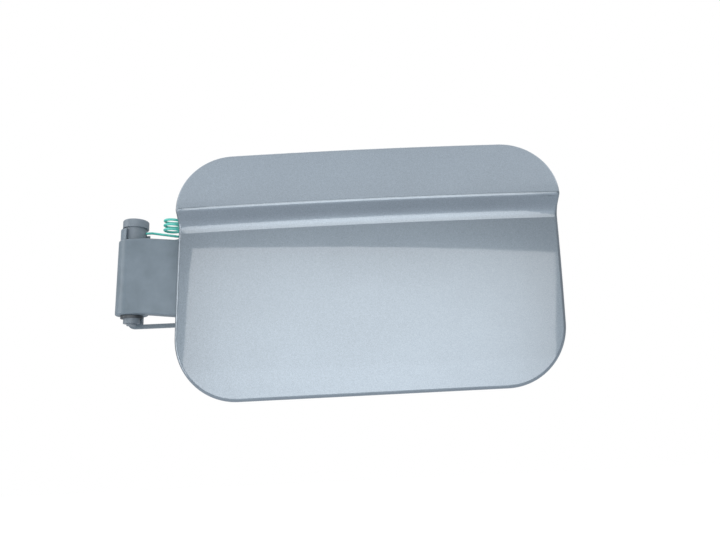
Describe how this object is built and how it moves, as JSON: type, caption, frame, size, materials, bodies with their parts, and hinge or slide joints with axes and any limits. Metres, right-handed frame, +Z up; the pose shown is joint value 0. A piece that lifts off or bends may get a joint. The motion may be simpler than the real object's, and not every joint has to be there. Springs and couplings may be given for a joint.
{
  "type": "car fuel filler flap",
  "caption": "Painted car fuel filler flap with a raised crease, on a black moulded hinge arm with pivot pin, green return spring, latch eye and rubber buffers on its inside.",
  "frame": {"origin": "on the hinge axis, in the head of the pivot pin", "axes": "+Z up along the hinge axis, +X from the hinge toward the free end, outer face toward -Y, closed position"},
  "size_m": [0.2263, 0.0439, 0.1216],
  "materials": {
    "body_paint": "dark grey metallic paint under clear coat on a moulded panel",
    "arm_plastic": "black glass-filled polyamide, fine grained",
    "pin_plastic": "black acetal, satin",
    "clip_steel": "black phosphated spring steel",
    "spring_wire": "green coated spring wire",
    "screw_steel": "zinc plated steel",
    "latch_plastic": "black acetal",
    "buffer_rubber": "black rubber"
  },
  "bodies": {
    "pin": {"hinge_pin": "pin_plastic", "pin_clip": "clip_steel"},
    "flap": {"outer_panel": "body_paint", "hinge_arm": "arm_plastic", "return_spring": "spring_wire", "arm_screws": "screw_steel", "latch_tongue": "latch_plastic", "latch_screws": "screw_steel", "buffer_upper": "buffer_rubber", "buffer_lower": "buffer_rubber"}
  },
  "joints": [
    {"name": "flap_hinge", "type": "hinge", "parent": "pin", "child": "flap", "pos_m": [0, 0, 0], "axis": [0, 0, -1], "range_deg": [0, 95], "stiffness_Nm_per_rad": 0.05, "springref_deg": -28.65, "deforming": ["return_spring"]}
  ]
}
